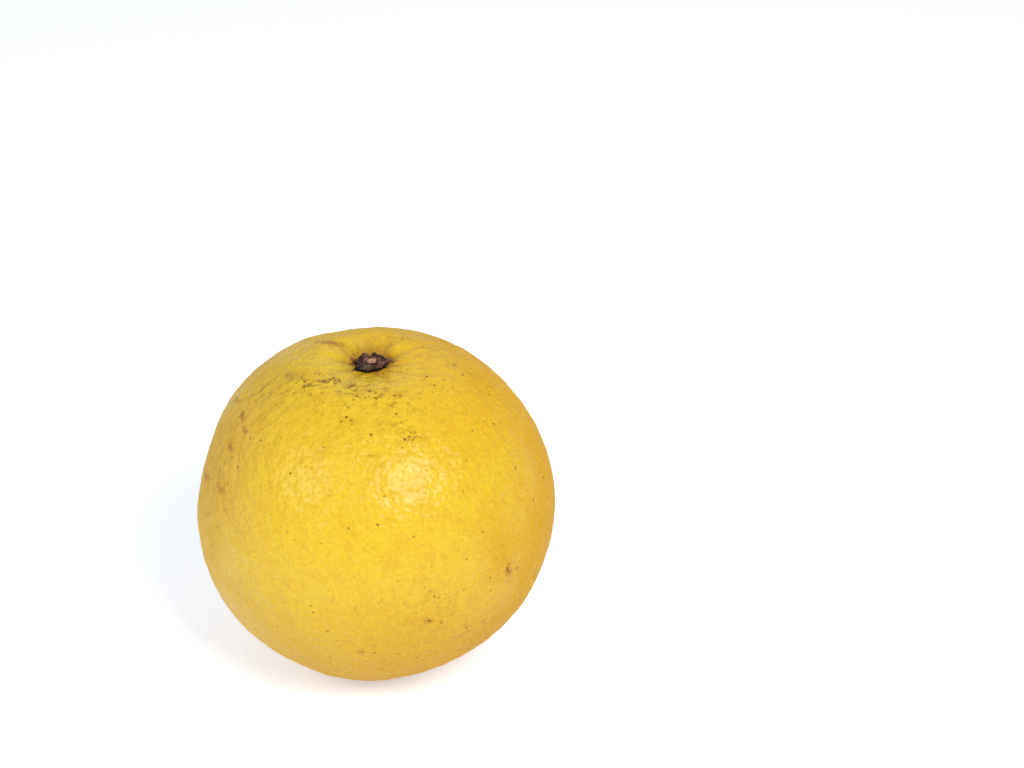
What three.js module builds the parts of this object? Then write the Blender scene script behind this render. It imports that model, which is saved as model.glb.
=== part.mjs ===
// A whole pomelo, picked, standing on its blossom end.
// Three pieces: the fruit in its pitted skin, the dried calyx in the basin at the stem end,
// and the pale stub of broken stem in the middle of the calyx.
// Millimetres, +Z up through the stem end, +X and +Y level.
// The origin is on the surface it stands on, in the middle of the fruit's outline seen from above.
import * as THREE from "three";
import { mergeVertices } from "three/addons/utils/BufferGeometryUtils.js";

// The body of the fruit
const girthRadius = 65; // half its widest width
const crownRise = 63.6; // from the girth to the crown, before the basin is sunk
const baseDrop = 62.8; // from the girth to the blossom end, before the resting spot is flattened
const fullness = 2.1; // 2 would be an ellipse, more fills out the shoulders
const restingRadius = 14; // the flat spot it stands on

// The stem end
const basinDepth = 5;
const basinRadius = 25;
const furrowWidth = 2.6; // where it leaves the calyx
const furrowFlare = 0.1; // width gained for each millimetre out
const furrowStart = 4; // under the calyx
const furrowFull = 8; // where it is deepest

// The blossom end
const scarRadius = 5;
const scarDepth = 0.9;

// The skin's pits, drawn larger than life: the real ones are 2 mm apart
const meshRows = 24; // rows of triangles along an edge of the icosahedron
const pitDepth = 0.7;
const scatter = 0.24; // how far a point strays sideways, in rows
const stemCrowding = 0.36; // spacing of the points at the stem, against the girth's
const baseCrowding = 0.7;
const crowdedAngle = 0.95; // how far from each pole the crowding reaches, in radians

// The calyx and the stub
const clearance = 0.3; // between neighbouring pieces
const calyxRadius = 5.4; // to the notches between its lobes
const calyxFloor = 1.1; // thickness in the middle
const calyxRim = 2.3; // thickness of the swollen ring
const calyxEdge = 0.7;
const lobeCurl = 1.1; // how far a lobe's tip lifts off the skin
const stubRadius = 1.45;
const stubHeight = 1.3;

// Broad swells and hollows of the body: heading round the stem from +X, height above the girth,
// both in degrees, reach in radians, and rise in millimetres.
const swells = [
  { heading: 193, height: -21, reach: 0.9, rise: 1.0 },
  { heading: 146, height: 42, reach: 0.6, rise: 0.9 },
  { heading: -48, height: -51, reach: 0.6, rise: -0.9 },
  { heading: 115, height: 62, reach: 0.3, rise: -0.5 },
  { heading: 168, height: 16, reach: 0.4, rise: -1.0 },
  { heading: 0, height: 0, reach: 0.6, rise: 0.9 },
  { heading: 62, height: -12, reach: 0.8, rise: 0.8 },
  { heading: 95, height: 18, reach: 0.5, rise: -0.6 },
  { heading: -100, height: 24, reach: 0.6, rise: 0.4 },
  { heading: -108, height: -55, reach: 0.45, rise: 0.6 },
  { heading: 28, height: 32, reach: 0.5, rise: -0.5 },
  { heading: 124, height: 52, reach: 0.22, rise: 0.6 },
];

// Furrows that run out from the calyx over the shoulder.
const furrows = [
  { heading: -4, length: 19, depth: 0.8 },
  { heading: 33, length: 24, depth: 1.1 },
  { heading: 68, length: 30, depth: 1.5 },
  { heading: 93, length: 27, depth: 1.3 },
  { heading: 126, length: 31, depth: 1.6 },
  { heading: 160, length: 22, depth: 1.1 },
  { heading: 196, length: 18, depth: 0.8 },
  { heading: 229, length: 23, depth: 1.0 },
  { heading: 264, length: 17, depth: 0.8 },
  { heading: 299, length: 21, depth: 1.1 },
  { heading: 331, length: 18, depth: 0.8 },
];

// The calyx's five dried lobes: heading, how far the tip passes the notches, and width in degrees.
const lobes = [
  { heading: 6, length: 2.2, width: 62 },
  { heading: 68, length: 0.8, width: 58 },
  { heading: 128, length: 1.1, width: 54 },
  { heading: 194, length: 1.8, width: 62 },
  { heading: 268, length: 1.4, width: 80 },
];

const degrees = THREE.MathUtils.DEG2RAD;
const smoothstep = THREE.MathUtils.smoothstep;

// A repeatable random number from 0 to 1 at each call.
function seededRandom(seed) {
  let state = seed;
  return () => {
    state = (state + 0x6d2b79f5) | 0;
    let mixed = Math.imul(state ^ (state >>> 15), 1 | state);
    mixed = (mixed + Math.imul(mixed ^ (mixed >>> 7), 61 | mixed)) ^ mixed;
    return ((mixed ^ (mixed >>> 14)) >>> 0) / 4294967296;
  };
}

// A unit direction from a heading and a height in degrees.
function towards(heading, height) {
  return new THREE.Vector3().setFromSphericalCoords(1, (90 - height) * degrees, heading * degrees)
    .applyMatrix4(new THREE.Matrix4().makeBasis(
      new THREE.Vector3(0, 1, 0), new THREE.Vector3(0, 0, 1), new THREE.Vector3(1, 0, 0)));
}

// The difference of two headings in radians, from -PI to PI.
function turnBetween(a, b) {
  return THREE.MathUtils.euclideanModulo(a - b + Math.PI, 2 * Math.PI) - Math.PI;
}

for (const swell of swells) swell.towards = towards(swell.heading, swell.height);

// The skin with its basin but without furrows or pits, seen from the middle of the girth.
function smoothSkin(direction) {
  const level = Math.hypot(direction.x, direction.y);
  const half = direction.z > 0 ? crownRise : baseDrop;
  let reach = ((level / girthRadius) ** fullness
    + (Math.abs(direction.z) / half) ** fullness) ** (-1 / fullness);
  for (const swell of swells) {
    reach += swell.rise * (1 - smoothstep(direction.angleTo(swell.towards), 0, swell.reach));
  }
  const point = direction.clone().multiplyScalar(reach);
  const out = Math.hypot(point.x, point.y) / basinRadius;
  if (direction.z > 0 && out < 1) point.z -= basinDepth * (1 - out ** 2) ** 2;
  return point;
}

// How deep the furrows cut at a point beside the stem.
function furrowCut(point) {
  const out = Math.hypot(point.x, point.y);
  const heading = Math.atan2(point.y, point.x);
  let cut = 0;
  for (const furrow of furrows) {
    const across = out * Math.sin(turnBetween(heading, furrow.heading * degrees));
    const ahead = Math.cos(turnBetween(heading, furrow.heading * degrees)) > 0;
    const halfWidth = (furrowWidth + furrowFlare * out) / 2;
    const along = smoothstep(out, furrowStart, furrowFull)
      * (1 - smoothstep(out, furrowFull, furrow.length));
    if (ahead) cut = Math.max(cut, furrow.depth * along * Math.exp(-((across / halfWidth) ** 2)));
  }
  return cut;
}

// The lowest height of the skin, where the fruit is cut flat to stand.
const restingHeight = -baseDrop * (1 - (restingRadius / girthRadius) ** fullness) ** (1 / fullness);

// Crowds points on a unit sphere towards both poles, where the skin has its small forms.
function crowded(direction) {
  const fromStem = Math.acos(THREE.MathUtils.clamp(direction.z, -1, 1));
  const nearest = Math.min(fromStem, Math.PI - fromStem);
  const crowding = direction.z > 0 ? stemCrowding : baseCrowding;
  const moved = nearest * (crowding + (1 - crowding) * smoothstep(nearest, 0, crowdedAngle));
  const polar = direction.z > 0 ? moved : Math.PI - moved;
  const heading = Math.atan2(direction.y, direction.x);
  return new THREE.Vector3(
    Math.sin(polar) * Math.cos(heading), Math.sin(polar) * Math.sin(heading), Math.cos(polar));
}

// For each vertex, the vertices it shares an edge with.
function neighboursOf(geometry) {
  const near = Array.from({ length: geometry.attributes.position.count }, () => new Set());
  const corners = geometry.index.array;
  for (let i = 0; i < corners.length; i += 3) {
    for (let k = 0; k < 3; k++) {
      near[corners[i + k]].add(corners[i + (k + 1) % 3]);
      near[corners[i + (k + 1) % 3]].add(corners[i + k]);
    }
  }
  return near;
}

// Picks vertices for the pits in a random order, no two of them side by side.
function choosePits(near, random) {
  const order = near.map((_, i) => ({ i, rank: random() })).sort((a, b) => a.rank - b.rank);
  const pits = new Set();
  for (const { i } of order) {
    if (![...near[i]].some((j) => pits.has(j))) pits.add(i);
  }
  return pits;
}

function fruitGeometry() {
  const sphere = new THREE.IcosahedronGeometry(1, meshRows - 1);
  sphere.deleteAttribute("normal");
  sphere.deleteAttribute("uv");
  const geometry = mergeVertices(sphere, 1e-4);
  const random = seededRandom(7);
  const near = neighboursOf(geometry);
  const pits = choosePits(near, random);
  const places = geometry.attributes.position;
  const row = 1.1 / meshRows; // one row of triangles on the unit sphere
  for (let i = 0; i < places.count; i++) {
    const stray = new THREE.Vector3(random() - 0.5, random() - 0.5, random() - 0.5);
    const start = new THREE.Vector3().fromBufferAttribute(places, i);
    const direction = crowded(start.addScaledVector(stray, 2 * scatter * row).normalize());
    const point = smoothSkin(direction);
    const out = Math.hypot(point.x, point.y);
    const atStem = direction.z > 0;
    if (atStem) point.z -= furrowCut(point);
    if (pits.has(i)) {
      const fade = atStem ? smoothstep(out, calyxRadius, basinRadius) : 1;
      point.addScaledVector(direction, -pitDepth * fade * (0.6 + 0.8 * random()));
    }
    if (point.z < restingHeight) {
      point.z = restingHeight + scarDepth * (1 - smoothstep(out, 0, scarRadius));
    }
    places.setXYZ(i, point.x, point.y, point.z);
  }
  return geometry;
}

// A closed round pad on spokes: outline(heading) is its radius, and underside and thickness take
// the place (heading, share of the radius) and give millimetres.
function padGeometry({ outline, underside, thickness, spokes, rings }) {
  const corners = [];
  const faces = [];
  const layer = 1 + spokes * rings; // a middle vertex, then the rings outwards
  for (const isTop of [true, false]) {
    for (let ring = 0; ring <= rings; ring++) {
      for (let spoke = 0; spoke < (ring ? spokes : 1); spoke++) {
        const heading = (2 * Math.PI * spoke) / spokes;
        const share = ring / rings;
        const out = share * outline(heading);
        const height = underside(heading, share, out) + (isTop ? thickness(heading, share) : 0);
        corners.push(out * Math.cos(heading), out * Math.sin(heading), height);
      }
    }
  }
  const at = (isTop, ring, spoke) =>
    (isTop ? 0 : layer) + (ring ? 1 + (ring - 1) * spokes + (spoke % spokes) : 0);
  for (let spoke = 0; spoke < spokes; spoke++) {
    for (const isTop of [true, false]) {
      const turn = (a, b, c) => faces.push(...(isTop ? [a, b, c] : [a, c, b]));
      turn(at(isTop, 0, 0), at(isTop, 1, spoke), at(isTop, 1, spoke + 1));
      for (let ring = 1; ring < rings; ring++) {
        turn(at(isTop, ring, spoke), at(isTop, ring + 1, spoke), at(isTop, ring + 1, spoke + 1));
        turn(at(isTop, ring, spoke), at(isTop, ring + 1, spoke + 1), at(isTop, ring, spoke + 1));
      }
    }
    const [here, next] = [spoke, spoke + 1];
    faces.push(at(true, rings, here), at(false, rings, here), at(false, rings, next));
    faces.push(at(true, rings, here), at(false, rings, next), at(true, rings, next));
  }
  const geometry = new THREE.BufferGeometry();
  geometry.setAttribute("position", new THREE.Float32BufferAttribute(corners, 3));
  geometry.setIndex(faces);
  return geometry;
}

// How far a heading is inside a lobe: 1 at its tip and 0 in the notches.
function lobeShare(heading, lobe) {
  const turn = Math.abs(turnBetween(heading, lobe.heading * degrees));
  return Math.max(0, Math.cos(Math.min(Math.PI / 2, (turn / (lobe.width * degrees)) * Math.PI)));
}

function calyxOutline(heading) {
  return calyxRadius + lobes.reduce((sum, lobe) => sum + lobe.length * lobeShare(heading, lobe), 0);
}

// Height of the smooth skin over a place beside the stem.
function skinHeight(heading, out) {
  let polar = out / crownRise;
  for (let pass = 0; pass < 6; pass++) {
    const point = smoothSkin(towards(heading / degrees, 90 - polar / degrees));
    polar += (out - Math.hypot(point.x, point.y)) / crownRise;
  }
  return smoothSkin(towards(heading / degrees, 90 - polar / degrees)).z;
}

function calyxGeometry() {
  return padGeometry({
    outline: calyxOutline,
    underside: (heading, share, out) => {
      const tip = lobes.reduce((most, lobe) => Math.max(most, lobeShare(heading, lobe)), 0);
      return skinHeight(heading, out) + clearance + lobeCurl * tip * smoothstep(share, 0.55, 1);
    },
    thickness: (heading, share) => {
      const floorToRim = calyxFloor + (calyxRim - calyxFloor) * smoothstep(share, 0.38, 0.66);
      const body = floorToRim + (calyxEdge - floorToRim) * smoothstep(share, 0.66, 1);
      const wrinkle = 0.22 * Math.sin(11 * heading + 2) + 0.14 * Math.sin(17 * heading);
      return body + wrinkle * smoothstep(share, 0.38, 0.6);
    },
    spokes: 70,
    rings: 8,
  });
}

function stubGeometry() {
  const foot = skinHeight(0, 0) + clearance + calyxFloor + clearance;
  return padGeometry({
    outline: (heading) => stubRadius * (1 + 0.08 * Math.sin(2 * heading + 1)),
    underside: () => foot,
    thickness: (heading, share) => {
      const broken = 0.18 * Math.sin(3 * heading + 0.5) * smoothstep(share, 0, 0.6);
      const pith = -0.25 * (1 - smoothstep(share, 0.2, 0.5));
      return stubHeight * (1 - 0.3 * smoothstep(share, 0.7, 1)) + broken + pith;
    },
    spokes: 24,
    rings: 5,
  });
}

function piece(name, geometry, color, roughness) {
  const mesh = new THREE.Mesh(
    geometry, new THREE.MeshStandardMaterial({ color, roughness, metalness: 0, flatShading: true }));
  mesh.name = name;
  return mesh;
}

const fruit = piece("fruit", fruitGeometry(), 0xf2c92b, 0.42);
const calyx = piece("calyx", calyxGeometry(), 0x4a3530, 0.8);
const stemStub = piece("stem_stub", stubGeometry(), 0xc9a27c, 0.85);

// The pieces are made round the middle of the girth, and then set down on the surface.
const pomelo = new THREE.Group();
pomelo.add(fruit, calyx, stemStub);
fruit.geometry.computeBoundingBox();
const middle = fruit.geometry.boundingBox.getCenter(new THREE.Vector3());
pomelo.position.set(-middle.x, -middle.y, -restingHeight);

export default pomelo;
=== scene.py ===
# %% [markdown]
# # A whole pomelo on its blossom end
#
# The real object is one fruit, as picked: a round body in a thick, oily, pitted skin, a dried calyx
# in a shallow basin at the stem end, and the pale stub of stem that broke off in the calyx.
# The fruit grew as one piece, so it is one mesh here too. The calyx and the stub are meshes of
# their own, because on the real fruit they can be flicked off with a thumbnail.
#
# The solids that carry the sizes are loaded first. Everything that follows is modelled around them
# and then stands in for them, so no size is made up a second time.

# %% The fixed frame
import math
import random
from collections import namedtuple

import bpy
import numpy as np
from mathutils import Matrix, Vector
from mathutils.bvhtree import BVHTree
from mathutils.kdtree import KDTree


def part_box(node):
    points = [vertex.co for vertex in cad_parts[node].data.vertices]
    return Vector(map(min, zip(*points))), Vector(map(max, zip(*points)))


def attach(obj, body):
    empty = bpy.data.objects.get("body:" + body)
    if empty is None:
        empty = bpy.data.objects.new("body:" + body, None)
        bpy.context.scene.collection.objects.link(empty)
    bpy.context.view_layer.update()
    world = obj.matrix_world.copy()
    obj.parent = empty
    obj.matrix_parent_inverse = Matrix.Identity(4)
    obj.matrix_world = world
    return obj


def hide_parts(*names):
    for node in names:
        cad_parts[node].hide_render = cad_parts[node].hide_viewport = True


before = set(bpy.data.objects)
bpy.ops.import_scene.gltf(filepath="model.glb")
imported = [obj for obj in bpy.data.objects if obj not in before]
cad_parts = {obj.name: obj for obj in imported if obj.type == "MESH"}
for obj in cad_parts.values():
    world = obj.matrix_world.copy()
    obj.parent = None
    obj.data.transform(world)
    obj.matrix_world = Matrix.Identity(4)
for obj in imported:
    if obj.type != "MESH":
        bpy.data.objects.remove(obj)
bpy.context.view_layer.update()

mm = 0.001
fruit_low, fruit_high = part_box("fruit")
calyx_low, calyx_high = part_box("calyx")
stub_low, stub_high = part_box("stem_stub")


def in_mm(lengths):
    """Lengths in metres, rounded in millimetres, for the prints."""
    return [round(float(length) / mm, 1) for length in lengths]


print("the fruit is", in_mm(fruit_high - fruit_low), "mm")
print("the calyx is", in_mm(calyx_high - calyx_low), "mm")
print("the stub is", in_mm(stub_high - stub_low), "mm")

# %% [markdown]
# ## The camera
#
# A ball looks almost the same from everywhere, so its outline only says how far away the camera is.
# What gives the angle away is the calyx: it shows as a flat oval near the top of the outline.
# The camera stands 35 degrees above the horizon and looks a little past the fruit, which puts it
# to the left of the picture's middle and below it.

# %% Camera
camera_place = Vector((0.0, -0.6052, 0.4848))
camera_aim = Vector((0.0499, 0.0, 0.1105))
lens = 70  # millimetres, on a sensor 36 mm wide
sensor_width = 36
picture_width = 1024
picture_height = 768

bpy.ops.object.camera_add(location=camera_place)
camera = bpy.context.object
camera.rotation_euler = (camera_aim - camera_place).to_track_quat("-Z", "Y").to_euler()
camera.data.lens = lens
camera.data.sensor_width = sensor_width
camera.data.clip_start = 0.01
bpy.context.scene.camera = camera
print("the camera is", round((camera_place - camera_aim).length, 3), "m from what it looks at")

# %% [markdown]
# ## Light
#
# The skin carries two soft glints, a broad one to the right of its middle and a fainter one to the
# left. A glint sits where the surface tilts halfway between the eye and a lamp, so each gives the
# direction of its own softbox. The room around is white and fills the shadows. A third, wide panel
# hangs behind the fruit, so that it is lit all round.

# %% Lamps and surroundings
body_middle = Vector((0.0, 0.0, 0.061))


def add_softbox(name, direction, distance, size, watts):
    """A square lamp that faces the fruit from a direction."""
    place = body_middle + Vector(direction).normalized() * distance
    bpy.ops.object.light_add(type="AREA", location=place)
    lamp = bpy.context.object
    lamp.name = name
    lamp.rotation_euler = (body_middle - place).to_track_quat("-Z", "Y").to_euler()
    lamp.data.shape = "SQUARE"
    lamp.data.size = size
    lamp.data.energy = watts


add_softbox("key_softbox", (0.370, -0.599, 0.711), distance=1.2, size=0.43, watts=9.6)
add_softbox("side_softbox", (-0.654, -0.437, 0.618), distance=1.2, size=0.50, watts=4.5)
add_softbox("back_panel", (0.2, 0.8, 0.75), distance=1.6, size=1.8, watts=4)

world = bpy.data.worlds.new("white_room")
bpy.context.scene.world = world
world.use_nodes = True
room = world.node_tree.nodes["Background"]
room.inputs["Color"].default_value = (1.0, 1.0, 1.0, 1.0)
room.inputs["Strength"].default_value = 0.40
bpy.context.scene.view_settings.view_transform = "Standard"
print("lamps:", [lamp.name for lamp in bpy.data.objects if lamp.type == "LIGHT"])

# %% [markdown]
# ## A short way to write materials
#
# A material is a chain of small sums. Wired by hand, each plus sign is a node and a page of code.
# Here a Value wraps one socket, and Python's own operators add the Math nodes, so a mask reads as
# the sum it is. Everything that isn't a sum comes from one method, node(), on the Finish.


# %% Values and finishes
class Value:
    """A socket in a material, on which sums are written as Python expressions."""

    def __init__(self, finish, socket):
        self.finish = finish
        self.socket = socket

    def sum(self, operation, *terms):
        """Adds one Math node."""
        settings = {"operation": operation}
        return self.finish.node("Math", settings, dict(enumerate(terms)), "Value")

    def __add__(self, other):
        return self.sum("ADD", self, other)

    def __radd__(self, other):
        return self.sum("ADD", other, self)

    def __sub__(self, other):
        return self.sum("SUBTRACT", self, other)

    def __rsub__(self, other):
        return self.sum("SUBTRACT", other, self)

    def __mul__(self, other):
        return self.sum("MULTIPLY", self, other)

    def __rmul__(self, other):
        return self.sum("MULTIPLY", other, self)

    def __truediv__(self, other):
        return self.sum("DIVIDE", self, other)

    def __pow__(self, other):
        return self.sum("POWER", self, other)

    def __abs__(self):
        return self.sum("ABSOLUTE", self)

    def at_least(self, other):
        return self.sum("MAXIMUM", self, other)

    def at_most(self, other):
        return self.sum("MINIMUM", self, other)

    def fade(self, start, end):
        """0 at start and 1 at end, with a soft step between them."""
        sockets = {"Value": self, "From Min": start, "From Max": end}
        return self.finish.node("MapRange", {"interpolation_type": "SMOOTHSTEP"}, sockets, "Result")


class Finish:
    """A material under construction, from what is the same all over it."""

    def __init__(self, name, constants):
        self.material = bpy.data.materials.new(name)
        self.material.use_nodes = True
        self.tree = self.material.node_tree
        self.shader = self.tree.nodes["Principled BSDF"]
        for socket, constant in constants.items():
            self.shader.inputs[socket].default_value = constant

    def node(self, kind, settings, sockets, output):
        """Adds a node: its settings first, then what its sockets hold or are linked to."""
        made = self.tree.nodes.new("ShaderNode" + kind)
        for setting, choice in settings.items():
            setattr(made, setting, choice)
        for key, content in sockets.items():
            socket = made.inputs[key] if isinstance(key, int) else self.named(made.inputs, key)
            if isinstance(content, Value):
                self.tree.links.new(content.socket, socket)
            else:
                socket.default_value = content
        return Value(self, self.named(made.outputs, output))

    def named(self, sockets, key):
        """A socket by its identifier, because the sockets of a Mix node share their names."""
        return next(socket for socket in sockets if socket.identifier == key)

    def feeds(self, varying):
        """Links what varies over the surface to the shader."""
        for socket, value in varying.items():
            self.tree.links.new(value.socket, self.shader.inputs[socket])

    def place(self):
        return self.node("TexCoord", {}, {}, "Object")

    def attribute(self, name, output="Fac"):
        return self.node("Attribute", {"attribute_name": name}, {}, output)

    def noise(self, place, size, detail=2.0, roughness=0.5):
        """Cloudy noise from 0 to 1, with lumps of about that size in metres."""
        sockets = {"Vector": place, "Scale": 1 / size, "Detail": detail, "Roughness": roughness}
        return self.node("TexNoise", {}, sockets, "Fac")

    def length(self, vector):
        return self.node("VectorMath", {"operation": "LENGTH"}, {0: vector}, "Value")

    def along(self, vector, direction):
        """How far a vector reaches in a direction."""
        sockets = {0: vector, 1: tuple(Vector(direction).normalized())}
        return self.node("VectorMath", {"operation": "DOT_PRODUCT"}, sockets, "Value")

    def from_point(self, place, point):
        """The vector to each place from one point."""
        sockets = {0: place, 1: tuple(point)}
        return self.node("VectorMath", {"operation": "SUBTRACT"}, sockets, "Vector")

    def blend(self, share, under, over):
        """One colour under another, which covers a share of it."""
        sockets = {"Factor_Float": share, "A_Color": under, "B_Color": over}
        return self.node("Mix", {"data_type": "RGBA"}, sockets, "Result_Color")

    def bump(self, height, strength=1.0):
        """Turns a height in millimetres into a normal."""
        sockets = {"Strength": strength, "Distance": mm, "Height": height}
        return self.node("Bump", {}, sockets, "Normal")


def ink(code):
    """A colour as a painter would pick it, such as F2C92F, in the renderer's linear numbers."""
    shares = [int(code[i:i + 2], 16) / 255 for i in (0, 2, 4)]
    linear = [s / 12.92 if s <= 0.04045 else ((s + 0.055) / 1.055) ** 2.4 for s in shares]
    return (*linear, 1.0)


print("a lemon yellow is", [round(part, 3) for part in ink("F2C92F")])

# %% [markdown]
# ## The table
#
# The fruit stands on a white cloth that is so brightly lit that only a breath of grey shows round
# its foot. A studio gets that with a table that glows a little from below, and so does this one.
# A plane is enough for it. Its very fine fuzz is a bump, since nothing touches it. The glow is
# cool, which takes the fruit's yellow reflection off the white.

# %% Table
table_width = 6.0

bpy.ops.object.select_all(action="DESELECT")
bpy.ops.mesh.primitive_plane_add(size=table_width)
table = bpy.context.object
table.name = "table"
cloth = Finish("white_cloth", {
    "Roughness": 0.95,
    "Specular IOR Level": 0.1,
    "Emission Color": (0.74, 0.90, 1.14, 1.0),
    "Emission Strength": 0.36,
})
fuzz = cloth.noise(cloth.place(), 1.6 * mm, detail=4.0, roughness=0.7)
cloth.feeds({
    "Base Color": cloth.blend(fuzz, ink("F4F3F2"), ink("FFFFFF")),
    "Normal": cloth.bump(fuzz * 0.5, strength=0.6),
})
table.data.materials.append(cloth.material)
print("the table is", table_width, "m wide, and its cloth has", len(cloth.tree.nodes), "nodes")

# %% [markdown]
# ## The body
#
# A ball of pitted skin needs the same small faces everywhere. A UV sphere crowds them at its poles,
# and the stem end is a pole. A cube whose sides are cut into small squares and then pushed out to a
# sphere has no poles at all. The squares near its edges would come out narrow, so the cuts are
# first spread by a tangent, and then all squares are about 0.7 mm wide.
#
# What a hand does in edit mode is select, then grab or scale, and the helpers here do the same in
# code. A grab with a reach is the proportional one: the surface around follows, less and less.

# %% Helpers for editing by hand
def only(piece):
    """Selects one object and nothing else."""
    bpy.ops.object.select_all(action="DESELECT")
    piece.select_set(True)
    bpy.context.view_layer.objects.active = piece


def corners_of(piece):
    """The places of a mesh's vertices as rows of x, y, z."""
    places = np.empty(len(piece.data.vertices) * 3, np.float32)
    piece.data.vertices.foreach_get("co", places)
    return places.reshape(-1, 3).astype(float)


def place_corners(piece, places):
    piece.data.vertices.foreach_set("co", places.astype(np.float32).ravel())
    piece.data.update()


def pick(piece, chosen):
    """Selects the corners that a True stands for, and nothing else."""
    for part in (piece.data.polygons, piece.data.edges):
        part.foreach_set("select", np.zeros(len(part), bool))
    piece.data.vertices.foreach_set("select", np.asarray(chosen, bool))


def pick_all(piece):
    pick(piece, np.ones(len(piece.data.vertices), bool))


def edit(piece, operator, **options):
    """Runs one edit-mode operator on what is picked."""
    only(piece)
    bpy.ops.object.mode_set(mode="EDIT")
    operator(**options)
    bpy.ops.object.mode_set(mode="OBJECT")


def grab(piece, chosen, move, reach):
    """Moves what is chosen, and the surface within reach follows, less and less with distance."""
    pick(piece, chosen)
    edit(
        piece, bpy.ops.transform.translate, value=move, use_proportional_edit=True,
        proportional_edit_falloff="SMOOTH", proportional_size=reach,
    )


def nearest_corner(places, point):
    chosen = np.zeros(len(places), bool)
    chosen[np.argmin(((places - np.array(point)) ** 2).sum(axis=1))] = True
    return chosen


def towards(heading, height):
    """A direction from a heading round the stem and a height above the girth, in degrees."""
    turn, rise = math.radians(heading), math.radians(height)
    return Vector((math.cos(turn) * math.cos(rise), math.sin(turn) * math.cos(rise), math.sin(rise)))


print("half way up on the right is", [round(part, 2) for part in towards(0, 45)])

# %% A cube made a ball
girth_radius = 65.0 * mm
crown_rise = 63.6 * mm  # from the girth to the crown, before the basin
base_drop = 62.8 * mm  # from the girth to the blossom end, before the resting spot
first_cuts = 7  # 8 squares along each edge of the cube
further_cuts = 15  # 16 in each of those

bpy.ops.object.select_all(action="DESELECT")
bpy.ops.mesh.primitive_cube_add(size=2.0)
fruit = bpy.context.object
fruit.name = "pomelo_fruit"
for cuts in (first_cuts, further_cuts):
    pick_all(fruit)
    edit(fruit, bpy.ops.mesh.subdivide, number_cuts=cuts)
place_corners(fruit, np.tan(corners_of(fruit) * math.pi / 4))
pick_all(fruit)
edit(fruit, bpy.ops.transform.tosphere, value=1.0)
ball_radius = float(np.linalg.norm(corners_of(fruit)[0]))
upper = corners_of(fruit)[:, 2] > 0
for half_height, chosen in ((crown_rise, upper), (base_drop, ~upper)):
    pick(fruit, chosen)
    scale = (girth_radius / ball_radius, girth_radius / ball_radius, half_height / ball_radius)
    edit(fruit, bpy.ops.transform.resize, value=scale, center_override=(0, 0, 0))
print("the ball has", len(fruit.data.polygons), "faces")

# %% [markdown]
# ## Shoulders, swells and the basin
#
# No fruit is a ball. This one is a little squarer than an ellipse at the shoulders, fuller on one
# side than on the other, and it is drawn in round its stem. These are broad, soft changes, and the
# tool for them is the proportional grab: one point is pulled and the skin around it follows.

# %% Grabs over the whole body
fullness = 1.0166  # how far the shoulders stand out past an ellipse
shoulder_share = 0.7071  # of the rise or the drop, which is halfway round from girth to crown
shoulder_reach = 49.7 * mm
shoulder_band = 0.4 * mm

# Heading and height in degrees, how far the pull reaches in radians, and its rise in millimetres.
Swell = namedtuple("Swell", "heading height reach rise")
swells = [
    Swell(193, -21, 0.9, 1.0),
    Swell(146, 42, 0.6, 0.9),
    Swell(-48, -51, 0.6, -0.9),
    Swell(115, 62, 0.3, -0.5),
    Swell(168, 16, 0.4, -1.0),
    Swell(0, 0, 0.6, 0.9),
    Swell(62, -12, 0.8, 0.8),
    Swell(95, 18, 0.5, -0.6),
    Swell(-100, 24, 0.6, 0.4),
    Swell(-108, -55, 0.45, 0.6),
    Swell(28, 32, 0.5, -0.5),
    Swell(124, 52, 0.22, 0.6),
]
basin_depth = 5.0 * mm
basin_radius = 25.0 * mm

skin = corners_of(fruit)
shoulder_height = np.where(skin[:, 2] > 0, crown_rise, base_drop) * shoulder_share
pick(fruit, np.abs(np.abs(skin[:, 2]) - shoulder_height) < shoulder_band)
edit(
    fruit, bpy.ops.transform.resize, value=(fullness,) * 3, center_override=(0, 0, 0),
    use_proportional_edit=True, proportional_edit_falloff="SMOOTH", proportional_size=shoulder_reach,
)
for swell in swells:
    direction = towards(swell.heading, swell.height)
    chosen = nearest_corner(corners_of(fruit), direction * girth_radius)
    grab(fruit, chosen, direction * swell.rise * mm, swell.reach * girth_radius)
grab(fruit, nearest_corner(corners_of(fruit), (0, 0, crown_rise)), (0, 0, -basin_depth), basin_radius)
print("the body is", in_mm(np.ptp(corners_of(fruit), axis=0)), "mm")

# %% [markdown]
# ## The spot that it stands on
#
# A heavy fruit presses itself flat where it stands. Everything below a certain height is picked and
# scaled to nothing in Z, which leaves a true flat spot, and in its middle the small scar of the
# blossom is pulled in. Then the whole fruit is set down on the table, with its outline in the
# middle of the frame, and from there on the stem's axis has a known place.

# %% Flat spot and blossom scar
roundness = 2.1  # 2 would be an ellipse
resting_radius = 14.0 * mm
scar_radius = 5.0 * mm
scar_depth = 0.9 * mm

resting_height = -base_drop * (1 - (resting_radius / girth_radius) ** roundness) ** (1 / roundness)
skin = corners_of(fruit)
pick(fruit, skin[:, 2] < resting_height)
edit(fruit, bpy.ops.transform.resize, value=(1, 1, 0), center_override=(0, 0, resting_height))
grab(fruit, nearest_corner(corners_of(fruit), (0, 0, resting_height)), (0, 0, scar_depth), scar_radius)
skin = corners_of(fruit)
middle = (skin.max(axis=0) + skin.min(axis=0)) / 2
frame_middle = (fruit_low + fruit_high) / 2
axis = Vector((frame_middle.x - middle[0], frame_middle.y - middle[1], fruit_low.z - skin[:, 2].min()))
pick_all(fruit)
edit(fruit, bpy.ops.transform.translate, value=axis)
print("the stem's axis meets the girth at", in_mm(axis), "mm")

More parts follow.
